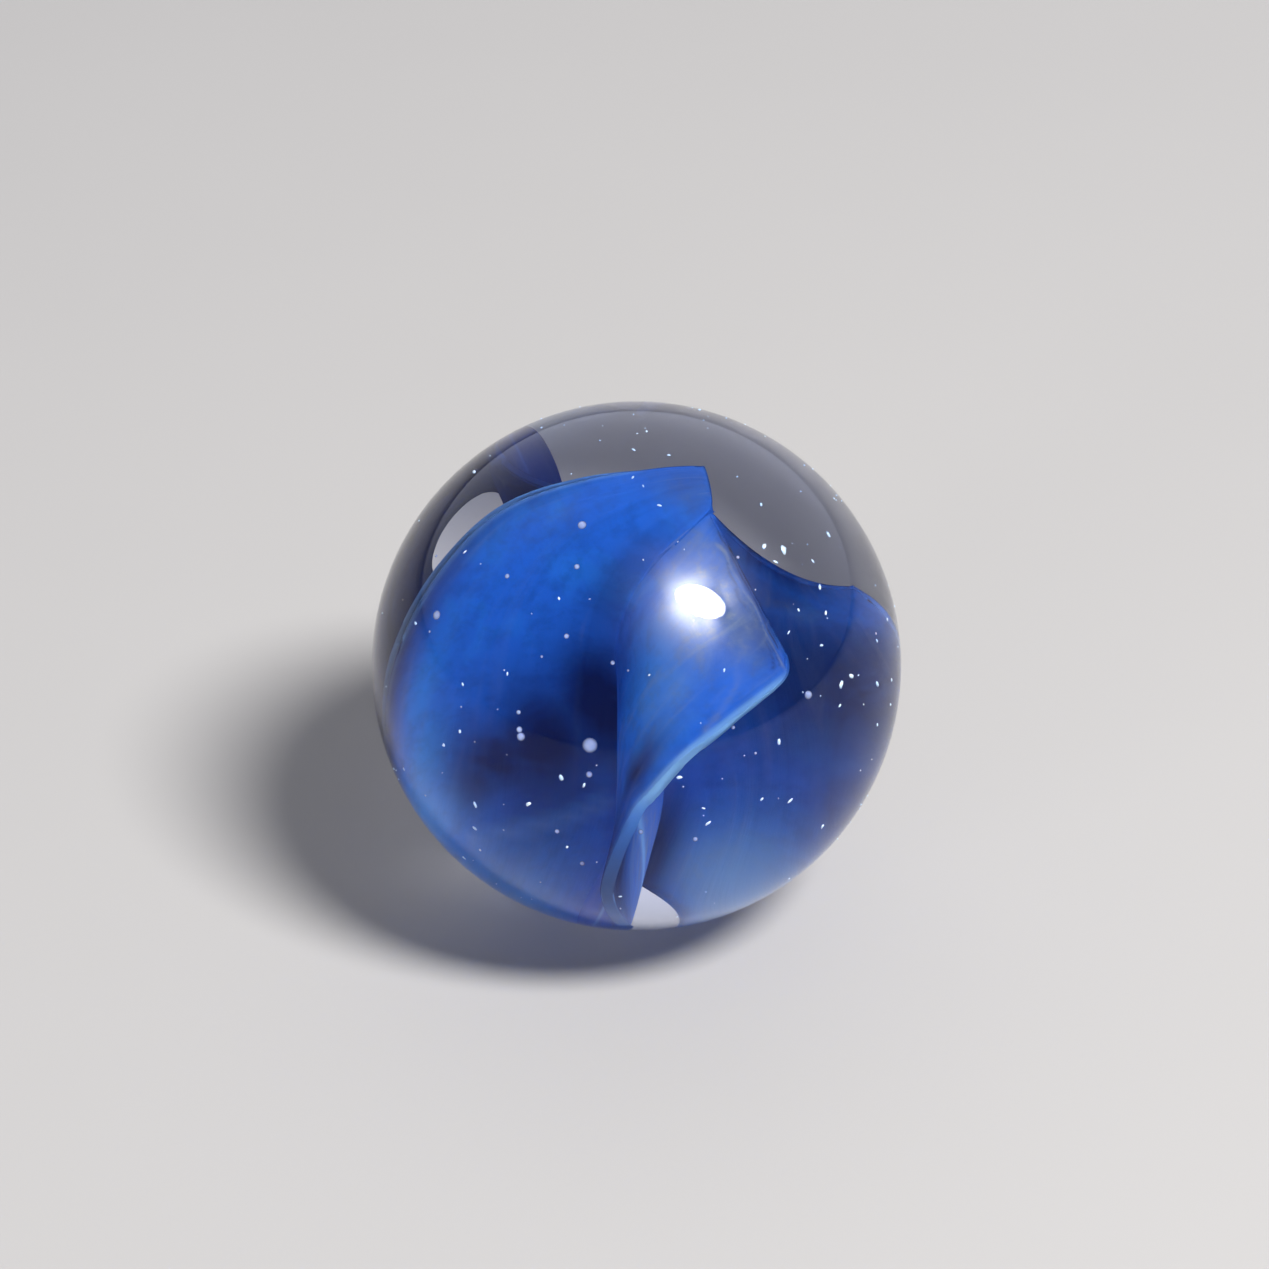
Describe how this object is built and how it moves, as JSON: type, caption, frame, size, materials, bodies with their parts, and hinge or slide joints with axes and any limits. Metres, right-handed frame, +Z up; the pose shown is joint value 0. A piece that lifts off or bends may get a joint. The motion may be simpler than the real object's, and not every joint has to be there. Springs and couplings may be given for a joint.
{
  "type": "glass marble",
  "caption": "Solid round ball of clear glass with blue glass vanes fanned out inside it, for play, display or use as a loose weight.",
  "frame": {"origin": "centre of the ball", "axes": "+Z up as the marble lies, +X to the right and +Y away from the side that shows the forward vane's edge; the core line of the vanes leans towards +X and -Y"},
  "size_m": [0.016, 0.016, 0.016],
  "materials": {
    "clear_glass": "fire-polished clear glass, very faintly blue, with fine bubbles",
    "blue_glass": "cloudy mid-blue glass, nearly opaque, with paler edges"
  },
  "bodies": {
    "root": {"clear_glass": "clear_glass", "blue_vanes": "blue_glass"}
  },
  "joints": []
}
